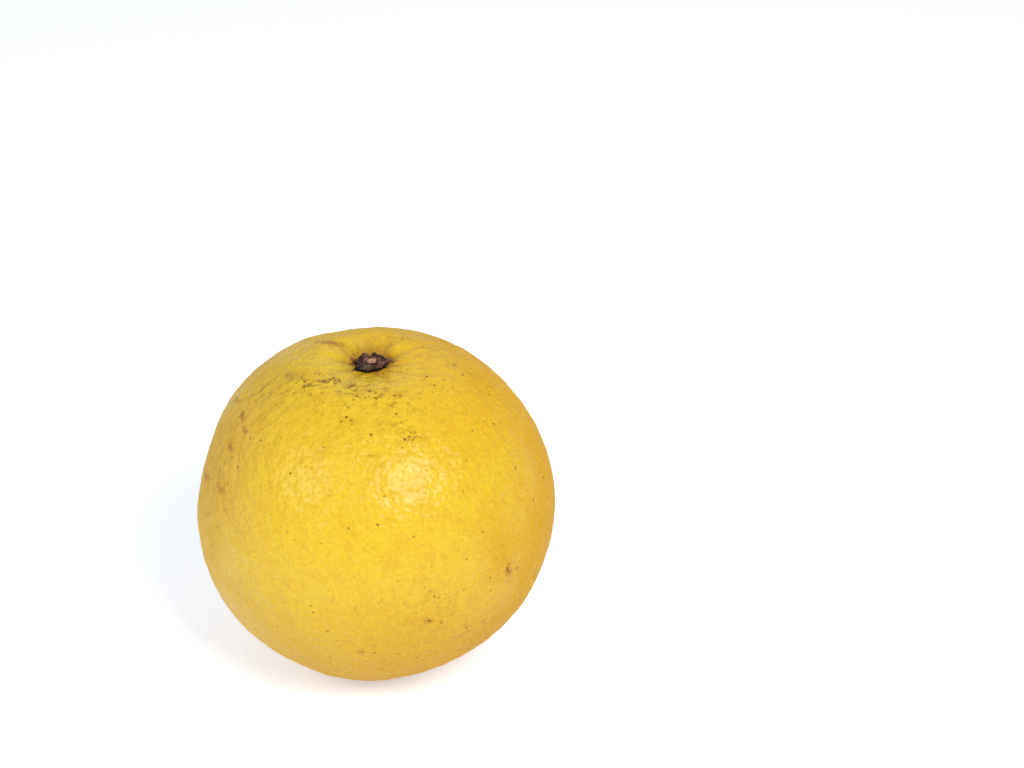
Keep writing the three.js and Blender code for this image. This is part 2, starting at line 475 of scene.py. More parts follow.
# %% [markdown]
# ## Furrows round the calyx
#
# While the fruit grew, the stem held its skin back and drew it into furrows like the mouth of a
# sack. Each runs out from under the calyx and fades over the shoulder. They are painted as weights,
# deepest in the middle of a furrow, and a Displace modifier then presses the skin in by them.

# %% Painted weights and what they press
furrow_width = 2.6 * mm  # on the stem's axis
furrow_flare = 0.1  # how much wider it gets for each millimetre further out
furrow_start = 4.0 * mm
furrow_full = 8.0 * mm  # how far out a furrow is deepest
deepest_furrow = 1.6 * mm
faintest_paint = 0.002

# Heading in degrees, then how far out it ends and its depth, in millimetres.
Furrow = namedtuple("Furrow", "heading length depth")
furrows = [
    Furrow(-4, 19, 0.8),
    Furrow(33, 24, 1.1),
    Furrow(68, 30, 1.5),
    Furrow(93, 27, 1.3),
    Furrow(126, 31, 1.6),
    Furrow(160, 22, 1.1),
    Furrow(196, 18, 0.8),
    Furrow(229, 23, 1.0),
    Furrow(264, 17, 0.8),
    Furrow(299, 21, 1.1),
    Furrow(331, 18, 0.8),
]


def soft_step(value, start, end):
    """0 up to start and 1 from end on, with a soft step between them."""
    share = np.clip((value - start) / (end - start), 0, 1)
    return share * share * (3 - 2 * share)


def paint(piece, name, weights):
    """Paints a vertex group, which modifiers and materials can both read."""
    group = piece.vertex_groups.new(name=name)
    for corner in np.flatnonzero(weights > faintest_paint):
        group.add([int(corner)], float(weights[corner]), "REPLACE")
    return name


def displace(piece, strength, group="", texture=None, middle=0.0, direction="NORMAL"):
    """Pushes the surface out by strength, or in where it is negative, and applies the change."""
    push = piece.modifiers.new("push", "DISPLACE")
    push.strength = strength
    push.vertex_group = group
    push.mid_level = middle
    push.direction = direction
    if texture is not None:
        push.texture = texture
        push.texture_coords = "LOCAL"
    bpy.context.view_layer.objects.active = piece
    bpy.ops.object.modifier_apply(modifier=push.name)


def around_axis(places):
    """Distance from the stem's axis, and heading round it."""
    beside = places[:, :2] - np.array(axis[:2])
    return np.hypot(beside[:, 0], beside[:, 1]), np.arctan2(beside[:, 1], beside[:, 0])


skin = corners_of(fruit)
out, heading = around_axis(skin)
furrow_weights = np.zeros(len(skin))
for furrow in furrows:
    turn = heading - math.radians(furrow.heading)
    across = out * np.sin(turn) / ((furrow_width + furrow_flare * out) / 2)
    along = soft_step(out, furrow_start, furrow_full)
    along *= 1 - soft_step(out, furrow_full, furrow.length * mm)
    cut = furrow.depth * mm / deepest_furrow * along * np.exp(-across ** 2)
    this_side = (np.cos(turn) > 0) & (skin[:, 2] > axis.z)
    furrow_weights = np.maximum(furrow_weights, np.where(this_side, cut, 0))
displace(fruit, -deepest_furrow, paint(fruit, "furrows", furrow_weights), direction="Z")
print("furrows pressed into", int((furrow_weights > 0.05).sum()), "corners")

# %% [markdown]
# ## The lie of the skin
#
# The skin rolls gently, in lumps from a few millimetres to a centimetre wide. Two cloudy Displace
# modifiers do that. They leave the resting spot flat, and under the calyx the skin is drawn tight,
# so a painted weight holds them back in both places.

# %% Rolling skin
calmed = 0.7  # how much calmer the skin is under the calyx
skin = corners_of(fruit)
off_the_table = soft_step(skin[:, 2], 0.2 * mm, 3.0 * mm)
under_calyx = soft_step(-around_axis(skin)[0], -9 * mm, -5 * mm) * (skin[:, 2] > axis.z)
free = off_the_table * (1 - calmed * under_calyx)
paint(fruit, "free_skin", free)


def clouds(name, size, depth=1):
    """A cloudy pattern for Displace, with lumps of about that size."""
    texture = bpy.data.textures.new(name, "CLOUDS")
    texture.noise_scale = size
    texture.noise_depth = depth
    return texture


displace(fruit, 0.55 * mm, "free_skin", clouds("broad_rolls", 11 * mm), middle=0.5)
displace(fruit, 0.40 * mm, "free_skin", clouds("fine_rolls", 3.4 * mm), middle=0.5)
print("the skin spans", in_mm(np.ptp(corners_of(fruit), axis=0)), "mm")

# %% [markdown]
# ## Pits
#
# Every 2 mm or so an oil gland has sunk into a pit. The pits are what breaks up the glints, so they
# are real relief. A regular pattern would look like a golf ball. Here each pit takes a corner of the
# mesh at random, unless another pit is too near, which gives the even but unruly spacing of real
# glands. How far each corner is from its pit is kept for the material.

# %% Pits
pit_gap = 1.62 * mm  # no two pits are nearer than about this
gap_spread = (0.82, 1.25)
pit_radius = 1.15 * mm
pit_depth = 0.17 * mm
strength_spread = (0.45, 1.0)


def tree_of(places):
    """A search tree that finds the places near a place."""
    tree = KDTree(len(places))
    for number, place in enumerate(places):
        tree.insert(place, number)
    tree.balance()
    return tree


skin = corners_of(fruit)
draw = random.Random(11)
corner_tree = tree_of(skin)
order = list(range(len(skin)))
draw.shuffle(order)
taken = np.zeros(len(skin), bool)
pits = []
for corner in order:
    if not taken[corner]:
        pits.append(corner)
        for _, neighbour, _ in corner_tree.find_range(skin[corner], pit_gap * draw.uniform(*gap_spread)):
            taken[neighbour] = True
pit_strength = np.array([draw.uniform(*strength_spread) for _ in pits])
pit_tree = tree_of(skin[pits])
nearest_pit = np.array([pit_tree.find(place)[1] for place in skin])
pit_offset = skin - skin[pits][nearest_pit]
pit_distance = np.linalg.norm(pit_offset, axis=1)
hollow = np.clip(1 - (pit_distance / pit_radius) ** 2, 0, 1) ** 2 * pit_strength[nearest_pit]
displace(fruit, -pit_depth, paint(fruit, "pits", hollow * free))
print(len(pits), "pits")

# %% [markdown]
# ## What the skin has been through
#
# Specks, scabs and scratches are much finer than the mesh, so they can't be painted on its corners
# as colours. What is stored instead is how far each corner is from its nearest mark, as a vector.
# A vector changes evenly over a face, so the material can draw a round speck of half a millimetre
# in a face of 0.7 mm. Marks that lie close together go on separate layers.
#
# The marks that show in the photograph are written down by their pixels. A ray from the camera
# through such a pixel finds its place on the skin.

# %% From a pixel to the skin
bpy.context.view_layer.update()
skin_tree = BVHTree.FromObject(fruit, bpy.context.evaluated_depsgraph_get())
pixel = sensor_width / lens / picture_width  # its width for each metre from the camera


def on_skin(x, y):
    """The point of the skin that a pixel of the 1024 x 768 photograph shows."""
    ray = Vector(((x - picture_width / 2) * pixel, (picture_height / 2 - y) * pixel, -1))
    return skin_tree.ray_cast(camera_place, (camera.matrix_world.to_3x3() @ ray).normalized())[0]


print("a pixel is", round((camera_place - body_middle).length * pixel / mm, 2), "mm on the fruit")

# %% Marks that the photograph shows
# The pixel in its middle, its width in millimetres, and how dark it is.
Speck = namedtuple("Speck", "x y width dark")
specks = [
    Speck(333.5, 377.9, 1.1, 0.9), Speck(324.9, 381.7, 1.1, 0.8), Speck(339.0, 380.8, 1.0, 0.8),
    Speck(305.7, 385.6, 0.9, 0.8), Speck(308.6, 386.4, 0.9, 0.8), Speck(312.0, 385.5, 0.8, 0.7),
    Speck(314.8, 373.6, 0.9, 0.5), Speck(306.7, 369.8, 0.8, 0.4), Speck(333.0, 369.8, 0.8, 0.4),
    Speck(323.0, 392.7, 1.0, 0.5), Speck(304.8, 390.8, 0.9, 0.5), Speck(311.5, 394.6, 0.9, 0.5),
    Speck(370.3, 391.3, 0.9, 0.9), Speck(375.6, 393.2, 0.9, 0.8), Speck(376.0, 398.5, 1.1, 0.8),
    Speck(360.3, 398.0, 0.7, 0.6), Speck(348.3, 407.3, 1.0, 0.5), Speck(346.4, 417.0, 1.0, 1.0),
    Speck(341.4, 421.6, 0.9, 0.8), Speck(396.2, 413.8, 0.9, 0.9), Speck(394.7, 395.6, 0.9, 0.9),
    Speck(400.5, 372.2, 1.3, 0.5), Speck(388.0, 371.6, 1.2, 0.4), Speck(419.0, 353.5, 0.7, 0.6),
    Speck(419.0, 356.8, 0.7, 0.6), Speck(426.8, 376.7, 0.9, 1.0), Speck(424.4, 378.9, 0.7, 0.4),
    Speck(434.5, 385.4, 0.9, 0.8), Speck(442.6, 388.4, 0.7, 0.5), Speck(432.5, 392.2, 0.7, 0.6),
    Speck(350.7, 376.5, 0.5, 0.6), Speck(355.0, 378.4, 0.5, 0.6), Speck(361.2, 377.4, 0.5, 0.6),
    Speck(367.0, 378.4, 0.5, 0.5), Speck(362.2, 383.2, 0.5, 0.5), Speck(377.5, 385.5, 0.6, 0.5),
    Speck(371.2, 434.9, 1.0, 0.9), Speck(404.7, 439.6, 0.9, 0.9), Speck(409.6, 436.6, 0.9, 0.8),
    Speck(402.0, 447.7, 0.8, 0.7), Speck(392.5, 426.0, 0.8, 0.4), Speck(452.7, 388.0, 0.8, 0.6),
    Speck(468.0, 359.0, 1.1, 0.6), Speck(462.4, 374.7, 1.1, 0.7), Speck(494.2, 424.0, 0.9, 0.9),
    Speck(472.6, 430.5, 1.0, 0.7), Speck(515.5, 468.4, 0.9, 0.9), Speck(543.7, 477.1, 0.9, 0.8),
    Speck(533.3, 499.7, 0.9, 1.0), Speck(290.4, 473.5, 0.8, 0.9), Speck(260.7, 440.4, 0.9, 0.9),
    Speck(250.2, 438.2, 1.0, 0.5), Speck(237.7, 466.9, 0.9, 0.8), Speck(216.7, 527.0, 0.8, 0.5),
    Speck(377.6, 524.8, 0.9, 0.9), Speck(348.5, 528.6, 0.9, 0.8), Speck(413.8, 536.5, 0.8, 0.8),
    Speck(482.4, 531.8, 0.9, 0.8), Speck(463.0, 491.8, 0.8, 0.6), Speck(312.9, 612.5, 0.9, 0.7),
    Speck(311.0, 606.0, 0.9, 0.6), Speck(277.0, 626.8, 0.8, 0.7), Speck(434.4, 596.8, 0.9, 0.8),
    Speck(438.8, 597.7, 0.8, 0.7), Speck(438.0, 607.2, 0.8, 0.6), Speck(463.8, 589.8, 0.7, 0.8),
    Speck(398.0, 581.0, 0.7, 0.7), Speck(490.2, 577.4, 1.0, 0.6), Speck(491.0, 590.0, 1.0, 0.6),
    Speck(429.3, 621.0, 1.0, 0.9), Speck(441.2, 622.4, 0.9, 0.9), Speck(482.8, 621.6, 1.0, 0.7),
    Speck(466.2, 627.4, 1.0, 0.7), Speck(468.2, 631.2, 0.9, 0.8), Speck(471.3, 642.0, 0.9, 0.8),
    Speck(416.8, 657.8, 1.0, 0.6), Speck(397.2, 653.8, 0.8, 0.7), Speck(335.5, 670.2, 0.8, 0.7),
    Speck(336.4, 640.6, 0.7, 0.6), Speck(507.0, 569.0, 1.2, 0.8), Speck(424.8, 586.8, 0.8, 0.5),
    Speck(429.8, 591.4, 0.9, 0.5),
]

# The pixels at its ends, its width in millimetres, and how dark it is.
Crack = namedtuple("Crack", "x y end_x end_y width dark")
cracks = [
    Crack(354.8, 342.0, 360.0, 350.8, 0.35, 0.8), Crack(352.1, 352.8, 355.6, 356.8, 0.5, 0.9),
    Crack(356.9, 351.6, 358.4, 354.6, 0.4, 0.7), Crack(351.0, 358.7, 355.4, 362.6, 1.0, 0.8),
    Crack(350.6, 371.2, 358.0, 369.8, 1.1, 1.0), Crack(345.0, 369.6, 349.5, 370.0, 0.4, 0.5),
    Crack(391.0, 361.8, 399.4, 360.6, 0.45, 0.7), Crack(391.0, 365.8, 400.2, 365.2, 0.4, 1.0),
    # The crack from 386.0, 356.6 is a painted shadow in the crevice beside the calyx's right lobe.
    Crack(386.0, 356.6, 392.4, 355.4, 0.6, 0.6), Crack(376.6, 368.9, 377.9, 374.6, 0.5, 0.6),
    Crack(380.0, 369.9, 385.6, 376.6, 0.3, 0.8), Crack(363.6, 372.0, 362.0, 375.0, 0.3, 0.5),
    Crack(271.5, 381.0, 258.0, 394.0, 0.6, 0.85), Crack(355.0, 382.6, 355.0, 387.4, 0.5, 0.6),
    Crack(351.7, 400.4, 355.6, 399.3, 0.6, 0.9), Crack(359.0, 394.4, 364.0, 393.4, 0.4, 0.5),
    Crack(405.4, 431.2, 412.2, 426.2, 0.35, 0.5), Crack(391.6, 426.2, 398.8, 423.4, 0.3, 0.4),
    Crack(506.4, 566.0, 509.4, 573.0, 0.8, 0.6), Crack(231.2, 446.6, 229.4, 451.2, 0.8, 0.7),
    Crack(240.8, 416.5, 244.6, 411.5, 0.9, 0.6), Crack(352.0, 357.5, 356.0, 364.5, 1.1, 0.7),
    # The crack from 386.0, 359.2 is a painted shadow in the same crevice.
    Crack(386.0, 359.2, 393.4, 357.2, 1.1, 0.7),
]
Mark = namedtuple("Mark", "start end half_width dark")
marks = [Mark(on_skin(s.x, s.y), on_skin(s.x, s.y), s.width / 2 * mm, s.dark) for s in specks]
marks += [
    Mark(on_skin(c.x, c.y), on_skin(c.end_x, c.end_y), c.width / 2 * mm, c.dark) for c in cracks
]
print(len(marks), "marks placed from the photograph")

# %% [markdown]
# ## Marks that follow a rule
#
# The skin round the calyx is cracked all the way round in short dry lines, fine specks of soot lie
# over the shoulder below it, and stray specks are everywhere. There are too many to write down, so
# random numbers place them, and a fixed seed makes them the same on each run.

# %% Dry cracks round the calyx
dry_cracks = 34
crack_start = (5.2, 7.5)  # millimetres from the stem's axis
crack_length = (1.2, 3.6)  # millimetres
crack_bend = 0.06  # radians
crack_half_width = (0.12, 0.28)  # millimetres
crack_dark = (0.25, 0.6)
well_above = 0.2  # metres, higher than any part of the fruit


def skin_under(x, y):
    """The point of the skin straight below a place."""
    return skin_tree.ray_cast(Vector((x, y, well_above)), Vector((0, 0, -1)))[0]


for _ in range(dry_cracks):
    turn = draw.uniform(0, 2 * math.pi)
    near = draw.uniform(*crack_start) * mm
    far = near + draw.uniform(*crack_length) * mm
    ends = []
    for reach in (near, far):
        turn += draw.uniform(-crack_bend, crack_bend)
        ends.append(skin_under(axis.x + math.cos(turn) * reach, axis.y + math.sin(turn) * reach))
    marks.append(Mark(*ends, draw.uniform(*crack_half_width) * mm, draw.uniform(*crack_dark)))
print(dry_cracks, "dry cracks")

# %% Soot on the shoulder
soot_specks = 60
soot_across = (256, 420)  # pixels
soot_down = (364, 406)  # pixels
soot_half_width = (0.16, 0.36)  # millimetres
soot_dark = (0.3, 0.8)

for _ in range(soot_specks):
    hit = on_skin(draw.uniform(*soot_across), draw.uniform(*soot_down))
    marks.append(Mark(hit, hit, draw.uniform(*soot_half_width) * mm, draw.uniform(*soot_dark)))
print(soot_specks, "specks of soot")

# %% Marks all over the rest
stray_specks = 420
turned_up = 0.35  # the share of them that is always on the upper half
nearest_mark_gap = 2.6 * mm
clear_of_table = 1.0 * mm
finest, coarser = 0.15 * mm, 0.32 * mm  # the finest half width, and how much it can grow
smear = 0.3 * mm
stray_dark = (0.2, 0.7)

for _ in range(stray_specks):
    lean = Vector([draw.gauss(0, 1) for _ in range(3)]).normalized()
    lean.z = abs(lean.z) if draw.random() < turned_up else lean.z
    hit = skin_tree.ray_cast(body_middle, lean.normalized())[0]
    gap = min((hit - mark.start).length for mark in marks)
    if hit.z > clear_of_table and gap > nearest_mark_gap:
        half_width = finest + coarser * draw.random() ** 3
        drift = Vector([draw.uniform(-smear, smear) for _ in range(3)])
        marks.append(Mark(hit, hit + drift, half_width, draw.uniform(*stray_dark)))
print(len(marks), "marks in all")

# %% Marks in layers
def sort_into_layers(marks, gap):
    """Deals the marks out so that no two on a layer are nearer to each other than the gap."""
    layers = []
    for mark in marks:
        ends = (mark.start, mark.end)
        for layer in layers:
            if all((end - other).length > gap for end in ends for other in layer["ends"]):
                break
        else:
            layer = {"marks": [], "ends": []}
            layers.append(layer)
        layer["marks"].append(mark)
        layer["ends"].extend(ends)
    return [layer["marks"] for layer in layers]


layer_gap = 4.2 * mm
layers = sort_into_layers(marks, layer_gap)
print("they lie in", len(layers), "layers")

# %% [markdown]
# ## Marks stored on the corners
#
# Each corner keeps the vector to it from the nearest mark of a layer, counted in that mark's half
# widths, and how dark the mark is. Between two corners with different nearest marks the vector runs
# through nought and would draw a speck where there is none. So each corner also keeps a guard: the
# distance that it is surely away from any mark. The material takes the larger of the two.

# %% Offsets, guards and darkness
far_away = 30.0  # half widths
trusted_reach = 0.85 * mm  # nearer than this, the vector alone tells the distance
taper = 0.7  # how much thinner a crack is at its ends
shortest_crack = 1.0 * mm  # a shorter mark is a speck and doesn't taper


def store(piece, name, numbers):
    """Keeps a number or a vector for each corner, under a name that materials can read."""
    kind, part = ("FLOAT", "value") if numbers.ndim == 1 else ("FLOAT_VECTOR", "vector")
    layer = piece.data.attributes.new(name, kind, "POINT")
    layer.data.foreach_set(part, numbers.astype(np.float32).ravel())


def gap_to(places, start, end):
    """Vectors from the nearest point of a line to each place, and how far along the line it is."""
    start, along = np.array(start), np.array(end) - np.array(start)
    share = np.clip((places - start) @ along / max(along @ along, 1e-12), 0, 1)
    return places - start - share[:, None] * along, share


skin = corners_of(fruit)
for number, layer in enumerate(layers):
    offset = np.full(skin.shape, far_away)
    best = np.full(len(skin), far_away)
    guard = np.full(len(skin), far_away)
    dark = np.zeros(len(skin))
    for mark in layer:
        gap, share = gap_to(skin, mark.start, mark.end)
        distance = np.linalg.norm(gap, axis=1)
        tapers = (mark.end - mark.start).length > shortest_crack
        half_width = mark.half_width * np.where(tapers, 1 - taper * (2 * share - 1) ** 2, 1)
        nearer = distance / half_width < best
        best[nearer] = (distance / half_width)[nearer]
        offset[nearer] = (gap / half_width[:, None])[nearer]
        guard[nearer] = (np.maximum(distance - trusted_reach, 0) / half_width)[nearer]
        dark[nearer] = mark.dark
    store(fruit, f"mark_offset_{number}", offset)
    store(fruit, f"mark_guard_{number}", guard)
    store(fruit, f"mark_dark_{number}", dark)
store(fruit, "pit_offset", pit_offset / mm)
store(fruit, "pit_distance", pit_distance / mm)
store(fruit, "pit_strength", pit_strength[nearest_pit] * free)
print("the skin carries", len(fruit.data.attributes), "attributes")

# %% [markdown]
# ## Rubbed and stained places
#
# Where a twig has rubbed against the skin it has healed in a ruddy or an ashen scar, and
# soot has caught on the shoulder. These have soft edges and no outline of their own, so a strength
# from 0 to 1 on each corner is enough, and the material breaks it up. Round the calyx the skin is
# browned, partly by a stain and partly as painted shade, and the blossom's scar is as brown.

# %% Rubs from the photograph
# The pixels at its ends, its half width in millimetres, and its strength.
Rub = namedtuple("Rub", "x y end_x end_y half_width strength")
ruddy_rubs = [
    Rub(318, 342, 338, 345.5, 2.3, 1.0), Rub(241.5, 414, 242.5, 418, 1.6, 0.8),
    Rub(243.0, 427, 246.0, 433, 1.6, 0.7), Rub(229.5, 446, 231.0, 451, 1.7, 0.8),
    Rub(218.0, 485, 223.0, 491, 2.2, 0.6), Rub(236.0, 399, 239.0, 402, 1.8, 0.6),
    Rub(376.8, 369, 378.0, 375, 1.1, 0.9), Rub(384.0, 378, 387.0, 378, 1.0, 0.6),
    Rub(402.0, 339, 407.0, 338, 1.4, 0.7), Rub(382.0, 335, 384.0, 334, 1.3, 0.5),
    Rub(330.0, 345, 338.0, 345.6, 1.8, 0.5), Rub(426.0, 619, 431.0, 622, 1.5, 0.6),
    Rub(508.0, 565, 509.0, 572, 1.6, 0.8), Rub(359.0, 652, 362.0, 653, 1.6, 0.6),
    Rub(450.0, 597, 459.0, 600, 2.4, 0.25), Rub(205.0, 472, 208.0, 480, 2.2, 0.6),
    Rub(352.0, 358, 355.0, 365, 1.4, 1.0), Rub(388.0, 358, 394.0, 361, 1.4, 0.7),
]
ashen_rubs = [
    Rub(286, 374, 294, 377, 2.3, 0.7), Rub(304, 386, 314, 386, 1.9, 0.7),
    Rub(322, 381, 328, 383, 1.6, 0.6), Rub(333, 379, 340, 381, 1.7, 0.7),
    Rub(302, 392, 313, 393, 2.0, 0.5), Rub(352, 382, 358, 388, 1.6, 0.3),
    Rub(262, 386, 272, 380, 1.2, 0.4), Rub(228, 470, 226, 500, 2.6, 0.25),
    Rub(440, 352, 470, 372, 2.0, 0.2), Rub(396, 398, 404, 401, 1.6, 0.25),
]
sooty_rubs = [
    Rub(262, 398, 300, 388, 9, 0.6), Rub(305, 382, 345, 384, 7, 0.85),
    Rub(345, 388, 378, 396, 7, 0.9), Rub(378, 396, 410, 402, 8, 0.7),
    Rub(345, 410, 395, 440, 11, 0.45), Rub(400, 425, 412, 440, 6, 0.8),
    Rub(228, 440, 222, 500, 9, 0.5), Rub(500, 565, 512, 572, 6, 0.6),
    Rub(425, 605, 480, 640, 14, 0.45), Rub(455, 365, 475, 380, 9, 0.4),
]


def rubbed(rubs):
    """How strongly each corner is rubbed, from 0 to 1."""
    strength = np.zeros(len(skin))
    for rub in rubs:
        gap = gap_to(skin, on_skin(rub.x, rub.y), on_skin(rub.end_x, rub.end_y))[0]
        distance = np.linalg.norm(gap, axis=1) / (rub.half_width * mm)
        strength = np.maximum(strength, rub.strength * np.exp(-distance ** 2))
    return strength


store(fruit, "ruddy", rubbed(ruddy_rubs))
store(fruit, "ashen", rubbed(ashen_rubs))
store(fruit, "sooty", rubbed(sooty_rubs))
print(len(ruddy_rubs), "ruddy,", len(ashen_rubs), "ashen and", len(sooty_rubs), "sooty places")

# %% Stains and painted shade
# Round the calyx this strength is partly stain and partly painted shade, deepest behind the stem.
stain_and_shade_edge = 6.0 * mm  # full up to here, about the edge of the calyx
stain_and_shade_fall = 6.0 * mm  # how far beyond its edge it fades to a third
stain_and_shade_shift = 3.0 * mm  # the stain lies more behind the calyx than in front

stain_and_shade_out = np.hypot(skin[:, 0] - axis.x, skin[:, 1] - axis.y - stain_and_shade_shift)
stain_and_shade = np.exp(-np.maximum(stain_and_shade_out - stain_and_shade_edge, 0) / stain_and_shade_fall) * (skin[:, 2] > axis.z)
scar_stain = np.exp(-(around_axis(skin)[0] / scar_radius) ** 4) * (skin[:, 2] < axis.z)
store(fruit, "stain_and_shade", np.maximum(stain_and_shade, scar_stain))
only(fruit)
bpy.ops.object.shade_smooth()
print("the stain covers", int((stain_and_shade > 0.5).sum()), "corners")

# %% [markdown]
# ## The peel
#
# The peel is a satin wax over yellow flesh. Its yellow isn't even: it leans to amber on the upper
# right, and towards the flanks and the underside it is darkened as painted shade, to an orange that
# is also a painted reflection on the right, a dull ochre on the left and a browner yellow below.
# Each oil gland shows as a slightly deeper dot, partly its own colour and partly painted shade in
# its pit. A little light goes into the peel and comes out again nearby, which is what Subsurface is
# for. The patches of yellow come from noise of four sizes, and the amber and the painted shade from
# how far a place lies to one side of the fruit.

# %% Noise for the peel
peel = Finish("peel", {
    "Subsurface Weight": 0.06,
    "Subsurface Radius": (1.0, 0.5, 0.1),
    "Subsurface Scale": 1.2 * mm,
    "Specular IOR Level": 0.2,
    "Coat Roughness": 0.22,
})
place = peel.place()
from_middle = peel.from_point(place, body_middle)
broad = peel.noise(place, 34 * mm, detail=3.0)
patchy = peel.noise(place, 8 * mm, detail=4.0, roughness=0.6)
mottled = peel.noise(place, 3.2 * mm, detail=3.0, roughness=0.6)
grain = peel.noise(place, 1.3 * mm, detail=3.0, roughness=0.65)
print("the peel starts from", len(peel.tree.nodes), "nodes")

# %% Sides of the peel
def side(direction, start, end, unevenness=0.9):
    """How far a place lies to one side of the fruit, from 0 to 1, with an uneven border."""
    share = peel.along(from_middle, direction) / girth_radius
    return (share + unevenness * (broad - 0.5)).fade(start, end)


# The flank and underside masks darken the colour as painted shade, and they dull the wax.
right_flank_shade_and_wear = side((1.0, -0.35, -0.1), 0.55, 1.0)
left_flank_shade_and_wear = side((-0.95, 0.05, 0.15), 0.5, 1.05)
underside_shade_and_wear = side((0.25, -0.1, -1.0), -0.4, 0.95, 0.4)
amber_shoulder = side((0.80, 0.35, 0.30), 0.2, 1.0)
far_slope = side((0.1, 0.95, 0.3), 0.3, 0.9, 0.4)
print("with its sides the peel has", len(peel.tree.nodes), "nodes")

# %% Yellow and pits
yellow = peel.blend(amber_shoulder, ink("D9B526"), ink("DCA80E"))
# Painted shade: darker flanks and underside, and on the right an orange painted reflection.
yellow = peel.blend(0.8 * right_flank_shade_and_wear, yellow, ink("CF9A08"))
yellow = peel.blend(0.7 * left_flank_shade_and_wear, yellow, ink("D0A448"))
yellow = peel.blend(underside_shade_and_wear, yellow, ink("BE8B12"))
yellow = peel.blend(0.45 * patchy.fade(0.48, 0.7), yellow, ink("CF9F1E"))
yellow = peel.blend(0.42 * mottled.fade(0.5, 0.72), yellow, ink("C99A22"))
yellow = peel.blend(0.40 * grain.fade(0.5, 0.75), yellow, ink("E2C648"))

bowl_radius = 0.85  # millimetres
pit_guard = 0.85  # the part of the kept distance that a pit surely is away
pit_away = peel.length(peel.attribute("pit_offset", "Vector"))
pit_away = pit_away.at_least(pit_guard * peel.attribute("pit_distance"))
pit_bowl = (1 - (pit_away / bowl_radius) ** 2).at_least(0.0) ** 2 * peel.attribute("pit_strength")
# The deeper yellow in each pit is partly the gland's own colour and partly painted shade in the hollow.
yellow = peel.blend(0.24 * pit_bowl, yellow, ink("B98408"))
print("with its pits the peel has", len(peel.tree.nodes), "nodes")

# %% [markdown]
# ## Dirt and scars on the peel
#
# The specks and cracks are drawn from the vectors that the corners keep: dark within half of a
# mark's half width, and gone at one and a half. A little fine noise on that distance makes their
# outlines ragged. Soot, haze and scars are broken up by clotted noise, since a scar is never even.
# All are browns that lie over the yellow like thin paint, from the stain and painted shade round
# the calyx and the painted shade in the furrows up to the specks.

# %% Specks and cracks
wobble = peel.noise(place, 0.55 * mm, detail=2.0) - 0.5
speck = None
for number in range(len(layers)):
    away = peel.length(peel.attribute(f"mark_offset_{number}", "Vector"))
    away = away.at_least(peel.attribute(f"mark_guard_{number}")) + 1.3 * wobble
    spot = away.fade(1.5, 0.5) * peel.attribute(f"mark_dark_{number}")
    speck = spot if speck is None else speck.at_least(spot)
print("with its specks the peel has", len(peel.tree.nodes), "nodes")

# %% Soot, scars, stains and painted shade
clotted = peel.noise(place, 1.5 * mm, detail=2.0, roughness=0.6)
uneven = 0.65 * clotted + 0.35 * mottled - 0.5
sooty_place = peel.attribute("sooty")
soot = (uneven + 0.2 * sooty_place).fade(0.17, 0.30) * (0.5 + 0.8 * grain)
haze = sooty_place * mottled.fade(0.42, 0.62)
ruddy_place = peel.attribute("ruddy")
ruddy = (ruddy_place + 3.0 * uneven).fade(0.2, 0.9).at_most(1.4 * ruddy_place)
ashen_place = peel.attribute("ashen")
ashen = (ashen_place + 3.5 * uneven).fade(0.3, 0.9).at_most(1.4 * ashen_place)
stain_and_shade = (peel.attribute("stain_and_shade") * (0.5 + 0.6 * patchy + 0.5 * clotted)).fade(0.2, 1.0)
# The furrows are painted a darker brown: painted shade in the creases, with some dirt.
furrow_shade_and_dirt = peel.attribute("furrows").fade(0.12, 0.8) * grain.fade(0.3, 0.6)

# Brown round the calyx: partly stain, partly painted shade.
skin_colour = peel.blend(0.62 * stain_and_shade, yellow, ink("8E5C14"))
skin_colour = peel.blend(0.45 * furrow_shade_and_dirt, skin_colour, ink("94661A"))
skin_colour = peel.blend(0.6 * ruddy, skin_colour, ink("96502C"))
skin_colour = peel.blend(0.50 * ashen, skin_colour, ink("86683E"))
skin_colour = peel.blend(0.26 * haze, skin_colour, ink("8C6412"))
skin_colour = peel.blend(0.74 * soot, skin_colour, ink("6A3E00"))
skin_colour = peel.blend(0.86 * speck, skin_colour, ink("5C3200"))
print("with its scars the peel has", len(peel.tree.nodes), "nodes")

# %% [markdown]
# ## Wax and relief
#
# The wax gives a broad glint on the crown and the front. It has worn off the flanks, the far slope
# and the underside, on which the fruit lay while it was stored, and every scar is dull too. The
# finest relief, between the pits of the mesh, is a bump.

# %% Wax and relief
flanks = right_flank_shade_and_wear.at_least(left_flank_shade_and_wear).at_least(underside_shade_and_wear)
flanks = flanks.at_least(amber_shoulder ** 2).at_least(far_slope)
rubbed_dull = (0.5 * ruddy + 0.5 * ashen + 0.6 * speck + flanks).at_most(1.0)
relief = (
    -0.13 * pit_bowl
    + 0.85 * peel.noise(place, 3.3 * mm, detail=1.0)
    + 0.10 * grain
    + 0.03 * speck
)
peel.feeds({
    "Base Color": skin_colour,
    "Roughness": 0.22 + 0.14 * patchy + 0.40 * rubbed_dull,
    "Coat Weight": (0.13 - 0.13 * rubbed_dull).at_least(0.0),
    "Normal": peel.bump(relief),
})
fruit.data.materials.append(peel.material)
print("the finished peel has", len(peel.tree.nodes), "nodes")

# %% [markdown]
# ## The calyx
#
# Five sepals once held the flower. On a picked fruit they are a dry, dark button: a thick ring with
# a hollow in the middle, whose five lobes have crumpled and curled. It starts as a flat disc that is
# extruded ring by ring, out under the rim, over it and down into the hollow. That way it is closed
# from the start, and its foot is sunk in the skin.

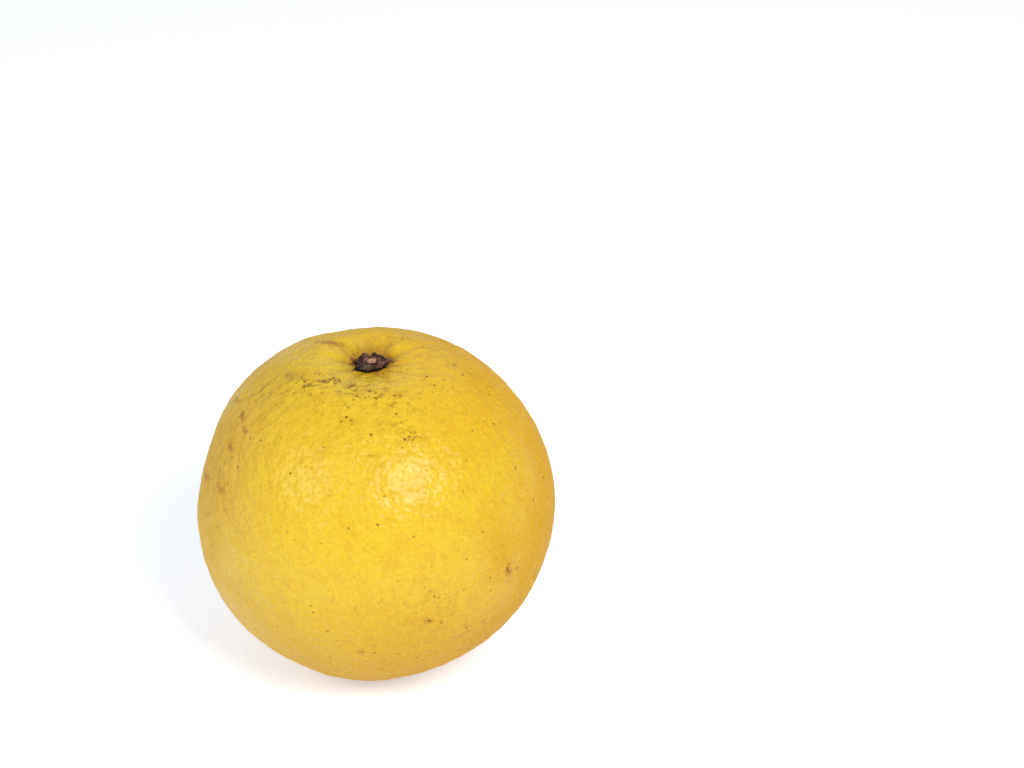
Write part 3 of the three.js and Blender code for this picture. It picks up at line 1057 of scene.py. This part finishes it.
# %% Calyx, ring by ring
calyx_gap = 0.3 * mm  # between the solids of the calyx and the fruit
calyx_foot = Vector((axis.x, axis.y, calyx_low.z - calyx_gap))  # where the stem's axis meets the skin
calyx_sides = 84

# Each ring's radius and its height over the skin, in millimetres, from the underside to the hollow.
Ring = namedtuple("Ring", "radius height")
calyx_rings = [
    Ring(4.0, -0.5), Ring(4.5, -0.3), Ring(4.8, 0.3), Ring(4.85, 0.9), Ring(4.8, 1.5),
    Ring(4.6, 2.0), Ring(4.2, 2.35), Ring(3.6, 2.4), Ring(3.0, 2.2), Ring(2.5, 2.05),
    Ring(2.0, 2.0), Ring(1.4, 2.0), Ring(0.8, 2.0),
]


def extrude_rings(name, foot, sides, rings):
    """A closed round body: a disc extruded from ring to ring, with every ring about the foot."""
    bpy.ops.object.select_all(action="DESELECT")
    bpy.ops.mesh.primitive_circle_add(vertices=sides, radius=rings[0].radius * mm, fill_type="TRIFAN")
    piece = bpy.context.object
    piece.name = name
    bpy.ops.object.mode_set(mode="EDIT")
    bpy.ops.mesh.select_all(action="SELECT")
    for ring, following in zip(rings, rings[1:]):
        bpy.ops.mesh.extrude_region_move()
        share = following.radius / ring.radius
        bpy.ops.transform.resize(value=(share, share, 1), center_override=(0, 0, 0))
        bpy.ops.transform.translate(value=(0, 0, (following.height - ring.height) * mm))
    bpy.ops.mesh.select_all(action="SELECT")
    bpy.ops.transform.translate(value=foot + Vector((0, 0, rings[0].height * mm)))
    bpy.ops.mesh.normals_make_consistent(inside=False)
    bpy.ops.object.mode_set(mode="OBJECT")
    return piece


calyx = extrude_rings("dried_calyx", calyx_foot, calyx_sides, calyx_rings)
print("the ring has", len(calyx.data.polygons), "faces")

# %% [markdown]
# ## Lobes and dents
#
# The tips of the sepals are pulled out of the rim by grabs, some twice, once broad and once narrow
# for the point. Between them the rim is pushed in. More grabs, straight up or down, leave it torn
# and uneven. Where each goes was read off the photograph.

# %% Lobes
# Heading in degrees, then how far the tip goes out, how far it rises, and its reach, in millimetres.
Lobe = namedtuple("Lobe", "heading out rise reach")
lobes = [
    Lobe(5, 1.1, 0.2, 3.2),
    Lobe(6, 2.5, 0.6, 1.7),
    Lobe(44, 1.5, 0.5, 2.5),
    Lobe(74, 1.3, 0.9, 2.4),
    Lobe(118, 1.0, 0.9, 2.3),
    Lobe(134, 0.9, 0.5, 1.7),
    Lobe(157, 1.5, 0.1, 1.9),
    Lobe(204, 1.7, -0.2, 2.2),
    Lobe(250, 0.3, 0.0, 2.0),
    Lobe(285, -0.7, 0.0, 2.4),
    Lobe(335, 0.3, 0.0, 2.0),
    Lobe(95, -1.0, -0.3, 1.2),
    Lobe(24, -0.6, -0.3, 1.0),
]
rim_radius, rim_height = 5.0, 1.2  # millimetres


def beside_stem(heading, radius, height):
    """A point by heading, radius and height over the skin, the last two in millimetres."""
    turn = math.radians(heading)
    return calyx_foot + Vector((math.cos(turn) * radius, math.sin(turn) * radius, height)) * mm


for lobe in lobes:
    rim = nearest_corner(corners_of(calyx), beside_stem(lobe.heading, rim_radius, rim_height))
    turn = math.radians(lobe.heading)
    pull = Vector((math.cos(turn) * lobe.out, math.sin(turn) * lobe.out, lobe.rise)) * mm
    grab(calyx, rim, pull, lobe.reach * mm)
print("with its lobes the calyx spans", in_mm(np.ptp(corners_of(calyx), axis=0)), "mm")

# %% Dents
# Heading in degrees, then the radius, the height, how far the grab lifts, and its reach, in
# millimetres.
Dent = namedtuple("Dent", "heading radius height lift reach")
dents = [
    Dent(122, 4.0, 2.4, 1.6, 2.4), Dent(64, 4.6, 2.6, 1.1, 2.0), Dent(95, 4.0, 2.3, -1.1, 1.1),
    Dent(8, 5.4, 2.2, 0.35, 1.3), Dent(165, 4.2, 2.3, -0.8, 1.5), Dent(25, 4.4, 2.3, -0.7, 1.0),
    Dent(190, 3.6, 2.3, 0.3, 1.2), Dent(315, 3.9, 2.3, -0.4, 1.4), Dent(250, 3.6, 2.3, 0.3, 1.2),
    Dent(345, 4.4, 2.2, 0.5, 0.9), Dent(220, 4.0, 2.3, -0.5, 0.9), Dent(280, 3.4, 2.3, -0.35, 0.9),
]


def lift_spots(piece, spots):
    """Grabs a piece up or down at each spot."""
    for spot in spots:
        place = beside_stem(spot.heading, spot.radius, spot.height)
        chosen = nearest_corner(corners_of(piece), place)
        grab(piece, chosen, (0, 0, spot.lift * mm), spot.reach * mm)


lift_spots(calyx, dents)
print("dented, the calyx spans", in_mm(np.ptp(corners_of(calyx), axis=0)), "mm")

# %% [markdown]
# ## Crumpling
#
# Drying has drawn the sepals into folds that run towards the stem, and then crumpled them. The folds
# are painted as weights from a wavy sine round the stem. Two cloudy displacements, a coarse and a
# fine one, do the rest, and move the foot only a quarter as much, since it has to stay in the skin.

# %% Crumpling
def smooth_finer(piece, levels):
    """Rounds a piece off with a Subdivision Surface and applies it."""
    finer = piece.modifiers.new("finer", "SUBSURF")
    finer.levels = finer.render_levels = levels
    bpy.context.view_layer.objects.active = piece
    bpy.ops.object.modifier_apply(modifier=finer.name)


smooth_finer(calyx, 2)
shape = corners_of(calyx)
out, heading = around_axis(shape)
over_skin = shape[:, 2] - calyx_foot.z  # the height of each corner
creased = soft_step(out, 1.8 * mm, 4.0 * mm) * soft_step(over_skin, 0.1 * mm, 0.8 * mm)
folds = (0.5 + 0.5 * np.sin(15 * heading + 2.2 * np.sin(3 * heading) + 900 * out)) ** 2
displace(calyx, -0.30 * mm, paint(calyx, "folds", creased * folds))
paint(calyx, "dry", 0.25 + 0.75 * soft_step(over_skin, -0.2 * mm, 0.6 * mm))
displace(calyx, 1.2 * mm, "dry", clouds("crumple", 1.9 * mm, 2), middle=0.5)
displace(calyx, 0.20 * mm, "dry", clouds("crinkle", 0.6 * mm, 3), middle=0.5)
print("the calyx has", len(calyx.data.polygons), "faces")

# %% [markdown]
# ## Fibres
#
# The torn edges have left stiff fibres that lie out over the skin, most at the two ends of the
# button. Each is a thin cone from just inside the rim down to a point on the skin, and all are
# joined to the calyx, as they grew with it.

# %% One fibre
fibre_root = 0.13 * mm
fibre_tip = 0.03 * mm
rim_window = 0.06  # radians to either side of a heading
rim_over_skin = 0.9 * mm


def add_fibre(start, end):
    """A thin cone from one point to another, with its place in its mesh."""
    bpy.ops.object.select_all(action="DESELECT")
    bpy.ops.mesh.primitive_cone_add(
        vertices=6, radius1=fibre_root, radius2=fibre_tip, depth=(end - start).length
    )
    fibre = bpy.context.object
    lie = (end - start).to_track_quat("Z", "Y").to_matrix().to_4x4()
    lie.translation = (start + end) / 2
    fibre.data.transform(lie)
    fibre.matrix_world.identity()
    return fibre


def rim_point(heading):
    """The outermost corner of the button at a heading."""
    places = corners_of(calyx)
    out, turn = around_axis(places)
    near = np.abs((turn - math.radians(heading) + math.pi) % (2 * math.pi) - math.pi) < rim_window
    near &= places[:, 2] > calyx_foot.z + rim_over_skin
    return Vector(places[near][np.argmax(out[near])])


print("a fibre is", in_mm([2 * fibre_root])[0], "mm thick at its root")

# %% All fibres
fibre_headings = [
    124, 130, 137, 143, 150, 156, 161, 169, 175, 181, 188, 196, 203, 211,
    338, 345, 351, 357, 2, 9, 17, 26, 40, 58, 84,
]
root_scatter, tip_scatter = 5, 28  # degrees to either side of the heading
fibre_reach = (0.8, 2.4)  # millimetres beyond the rim
fibre_limit = 8.6 * mm  # how far from the stem's axis a tip may lie
root_share = 0.15  # how far towards the stem the root is sunk
tip_lift = Vector((0, 0, 0.12 * mm))

fibres = []
for heading in fibre_headings:
    start = rim_point(heading + draw.uniform(-root_scatter, root_scatter))
    turn = math.radians(heading + draw.uniform(-tip_scatter, tip_scatter))
    room = fibre_limit - math.hypot(start.x - axis.x, start.y - axis.y)
    reach = min(draw.uniform(*fibre_reach) * mm, room)
    tip = skin_under(start.x + math.cos(turn) * reach, start.y + math.sin(turn) * reach)
    inward = Vector((axis.x, axis.y, start.z)) - start
    fibres.append(add_fibre(start + root_share * inward, tip + tip_lift))
only(calyx)
for fibre in fibres:
    fibre.select_set(True)
bpy.ops.object.join()
only(calyx)
bpy.ops.object.shade_smooth()
print("with its", len(fibre_headings), "fibres the calyx has", len(calyx.data.polygons), "faces")

# %% [markdown]
# ## The calyx's finish
#
# Dry sepals are purple-brown, brown in the hollow, and a lighter grey on the ridges. Low down by
# the skin the calyx is near-black, partly its own colour and partly painted shade under the rim.
# The near left is darker and greyer. Pointiness knows the ridges from the creases, and the veins
# are where a soft noise passes its middle value, which is along thin lines.

# %% Calyx finish
husk = Finish("dry_calyx", {"Specular IOR Level": 0.2})
husk_place = husk.place()
ridge = husk.node("NewGeometry", {}, {}, "Pointiness").fade(0.5, 0.6)
flecks = husk.noise(husk_place, 0.9 * mm, detail=4.0, roughness=0.7)
blotches = husk.noise(husk_place, 2.4 * mm, detail=2.0)
veins = husk.noise(husk_place, 1.4 * mm, detail=3.0)
vein_lines = abs(veins - 0.5).fade(0.035, 0.008)
from_foot = husk.from_point(husk_place, calyx_foot)
height_over_skin = husk.along(from_foot, (0, 0, 1)) / mm
near_left = husk.along(from_foot, (-0.8, -0.6, 0.0)) / mm
greyed = (near_left + 4.0 * (blotches - 0.5)).fade(0.3, 3.2)

husk_colour = husk.blend(blotches.fade(0.42, 0.56), ink("30160F"), ink("5E3822"))
husk_colour = husk.blend(0.6 * greyed, husk_colour, ink("2B271C"))
husk_colour = husk.blend(0.35 * flecks.fade(0.52, 0.7), husk_colour, ink("6E543A"))
husk_colour = husk.blend(0.8 * ridge * flecks.fade(0.44, 0.64), husk_colour, ink("A8968A"))
husk_colour = husk.blend(0.5 * vein_lines * blotches.fade(0.45, 0.6), husk_colour, ink("AC9A8A"))
# Low down by the skin the calyx is near-black: partly its own colour, partly painted shade under the
# rim.
husk_colour = husk.blend(height_over_skin.fade(2.1, 1.2), husk_colour, ink("150D07"))
husk_relief = 0.08 * husk.noise(husk_place, 0.35 * mm, detail=3.0) + 0.10 * flecks
husk.feeds({
    "Base Color": husk_colour,
    "Roughness": 0.55 + 0.3 * flecks,
    "Normal": husk.bump(husk_relief),
})
calyx.data.materials.append(husk.material)
print("the calyx's finish has", len(husk.tree.nodes), "nodes")

# %% [markdown]
# ## The stub of stem
#
# The stem snapped off in the calyx and left a short peg of pale wood with a torn end. It is
# extruded ring by ring, as the calyx is, grabbed up into a splinter on one side and down on the
# other, stretched across the picture, since the twig wasn't round, and torn by a cloudy
# displacement.

# %% Stub
stub_sides = 28
stub_stretch = (1.25, 0.88, 1)
stub_shift = (0.3 * mm, 0, 0)
stub_rings = [
    Ring(1.20, 1.7), Ring(1.30, 1.9), Ring(1.32, 2.2), Ring(1.30, 2.5), Ring(1.18, 2.72),
    Ring(0.9, 2.78), Ring(0.5, 2.74), Ring(0.2, 2.7),
]
splinters = [
    Dent(30, 1.1, 2.7, 0.6, 1.0), Dent(200, 1.1, 2.7, -0.45, 1.4), Dent(290, 1.0, 2.7, -0.25, 0.9),
    Dent(110, 0.9, 2.7, 0.15, 0.6),
]

stub = extrude_rings("stem_stub_wood", calyx_foot, stub_sides, stub_rings)
lift_spots(stub, splinters)
pick_all(stub)
edit(stub, bpy.ops.transform.resize, value=stub_stretch, center_override=calyx_foot)
edit(stub, bpy.ops.transform.translate, value=stub_shift)
smooth_finer(stub, 2)
displace(stub, 0.45 * mm, "", clouds("torn", 0.9 * mm), middle=0.5)
only(stub)
bpy.ops.object.shade_smooth()
print("the stub spans", in_mm(np.ptp(corners_of(stub), axis=0)), "mm")

# %% [markdown]
# ## The stub's wood
#
# Fresh wood is pale, and its fibres run along the stem. So the noise is stretched upwards, which a
# Mapping node does by scaling Z down. Low on the peg the wood is darker.

# %% Wood
wood = Finish("stem_wood", {})
wood_place = wood.place()
stretch = wood.node("Mapping", {}, {"Vector": wood_place, "Scale": (1.0, 1.0, 0.25)}, "Vector")
fibre = wood.noise(stretch, 0.6 * mm, detail=3.0, roughness=0.65)
wood_height = wood.along(wood.from_point(wood_place, calyx_foot), (0, 0, 1)) / mm
wood_colour = wood.blend(fibre.fade(0.36, 0.62), ink("7A5638"), ink("C29A74"))
wood_colour = wood.blend(0.8 * wood_height.fade(2.4, 1.9), wood_colour, ink("5A3A26"))
wood.feeds({
    "Base Color": wood_colour,
    "Roughness": 0.65 + 0.2 * fibre,
    "Normal": wood.bump(0.12 * fibre),
})
stub.data.materials.append(wood.material)
print("the wood has", len(wood.tree.nodes), "nodes")

# %% [markdown]
# ## Standing in for the solids
#
# Each mesh takes the place of its solid and moves with the part's one body.

# %% Hand over
for piece, node, slot in (
    (fruit, "fruit", "peel"),
    (calyx, "calyx", "calyx"),
    (stub, "stem_stub", "stem_wood"),
):
    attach(piece, "root")
    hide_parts(node)
